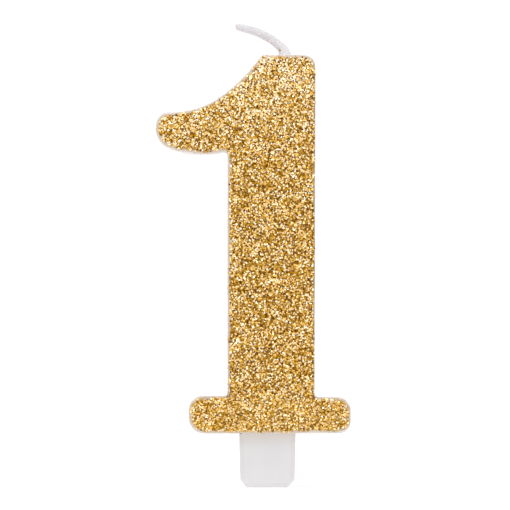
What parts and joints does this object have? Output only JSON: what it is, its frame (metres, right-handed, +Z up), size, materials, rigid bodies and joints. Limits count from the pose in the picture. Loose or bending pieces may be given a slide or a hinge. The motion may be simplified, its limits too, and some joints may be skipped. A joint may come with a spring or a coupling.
{
  "type": "number birthday candle",
  "caption": "Wax numeral-one birthday candle with a gold glitter front, a waxed cotton wick and a flat push-in plastic peg for the cake.",
  "frame": {"origin": "where the peg leaves the foot's underside, midway through the numeral's thickness and on the peg's centre line", "axes": "+Z up the numeral towards the wick, -Y out of the glittered front, +X to the right seen from the front"},
  "size_m": [0.0361, 0.0089, 0.086],
  "materials": {
    "wax": "cast white paraffin wax, satin and slightly translucent",
    "clear_glue": "dried clear adhesive, coloured by the glitter in it",
    "gold_glitter": "fine gold metallised polyester flakes, sparkling",
    "cotton": "braided cotton",
    "wick_wax": "thin dip coat of white paraffin wax over the braid",
    "peg_plastic": "moulded white polypropylene, satin"
  },
  "bodies": {
    "peg": {"peg": "peg_plastic"},
    "candle": {"wax_body": "wax", "glue_film": "clear_glue", "glitter_coat": "gold_glitter", "wick_run": "cotton"},
    "wick": {"wick_end": "cotton", "wick_wax": "wick_wax"}
  },
  "joints": [
    {"name": "candle_pull", "type": "slide", "parent": "peg", "child": "candle", "axis": [0, 0, 1], "range_m": [0, 0.009]},
    {"name": "wick_bend", "type": "hinge", "parent": "candle", "child": "wick", "pos_m": [0.0031, 0, 0.07097], "axis": [0, 1, 0], "range_deg": [-12, 60]}
  ]
}
